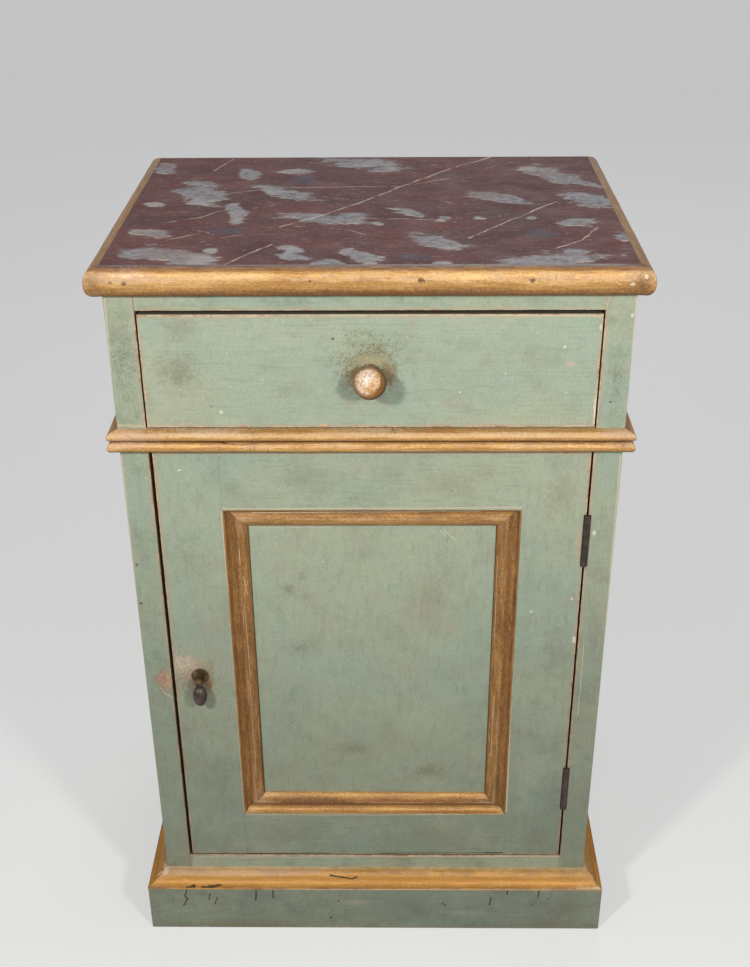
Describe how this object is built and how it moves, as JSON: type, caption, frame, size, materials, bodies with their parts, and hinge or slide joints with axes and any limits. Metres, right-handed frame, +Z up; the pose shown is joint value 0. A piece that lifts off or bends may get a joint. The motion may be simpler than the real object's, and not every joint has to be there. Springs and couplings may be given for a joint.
{
  "type": "bedside pot cupboard",
  "caption": "Painted bedside cupboard on a plinth: a drawer with a ball knob over a framed door with a pear drop handle, under a marbled top with a half-round edge.",
  "frame": {"origin": "on the floor under the middle of the box that holds the shut cupboard with its knob", "axes": "+X to the right seen from the front, +Y from the front to the back, +Z up"},
  "size_m": [0.478, 0.3604, 0.738],
  "materials": {
    "green_paint": "aged sage green paint over a warm undercoat, matt",
    "gilt": "worn gilding over gesso, satin",
    "dark_gilt": "browned gilding, satin",
    "marbled_paint": "red-brown marbled paint under old varnish, satin",
    "bare_pine": "bare aged pine, matt",
    "old_iron": "dark rusted iron",
    "old_brass": "dark tarnished brass"
  },
  "bodies": {
    "carcass": {"side_left": "green_paint", "side_right": "green_paint", "bottom_board": "bare_pine", "divider_rail": "green_paint", "runner_left": "bare_pine", "runner_right": "bare_pine", "dust_panel": "bare_pine", "top_rail_front": "green_paint", "top_rail_back": "bare_pine", "kicker_left": "bare_pine", "kicker_right": "bare_pine", "back_board_left": "bare_pine", "back_board_middle": "bare_pine", "back_board_right": "bare_pine", "top_board": "marbled_paint", "nosing_front": "gilt", "nosing_left": "gilt", "nosing_right": "gilt", "middle_moulding_front": "gilt", "middle_moulding_left": "gilt", "middle_moulding_right": "gilt", "plinth_front": "green_paint", "plinth_left": "green_paint", "plinth_right": "green_paint", "base_moulding_front": "gilt", "base_moulding_left": "gilt", "base_moulding_right": "gilt", "plinth_blocks": "bare_pine", "drawer_stops": "bare_pine", "door_stop": "bare_pine", "hinge_case_leaf_upper": "old_iron", "hinge_case_leaf_lower": "old_iron", "hinge_pins": "old_iron", "case_screws": "old_iron"},
    "drawer": {"drawer_front": "green_paint", "drawer_side_left": "bare_pine", "drawer_side_right": "bare_pine", "drawer_back": "bare_pine", "drawer_bottom": "bare_pine", "drawer_knob": "gilt"},
    "door": {"door_stile_left": "green_paint", "door_stile_right": "green_paint", "door_rail_top": "green_paint", "door_rail_bottom": "green_paint", "door_panel": "green_paint", "panel_moulding_top": "dark_gilt", "panel_moulding_bottom": "dark_gilt", "panel_moulding_left": "dark_gilt", "panel_moulding_right": "dark_gilt", "hinge_door_leaf_upper": "old_iron", "hinge_door_leaf_lower": "old_iron", "door_screws": "old_iron", "handle_rose": "old_brass"},
    "latch": {"latch_spindle": "old_brass", "latch_tongue": "old_iron", "latch_nut": "old_brass", "drop_pin": "old_brass"},
    "drop": {"pear_drop": "old_brass"}
  },
  "joints": [
    {"name": "drawer_slide", "type": "slide", "parent": "carcass", "child": "drawer", "axis": [0, -1, 0], "range_m": [0, 0.22]},
    {"name": "door_hinge", "type": "hinge", "parent": "carcass", "child": "door", "pos_m": [0.194, -0.14785, 0.3275], "axis": [0, 0, 1], "range_deg": [0, 165]},
    {"name": "latch_turn", "type": "hinge", "parent": "door", "child": "latch", "pos_m": [-0.167, -0.14785, 0.322], "axis": [0, 1, 0], "range_deg": [0, 90]},
    {"name": "drop_swing", "type": "hinge", "parent": "latch", "child": "drop", "pos_m": [-0.167, -0.15885, 0.322], "axis": [-1, 0, 0], "range_deg": [-10, 80]}
  ]
}
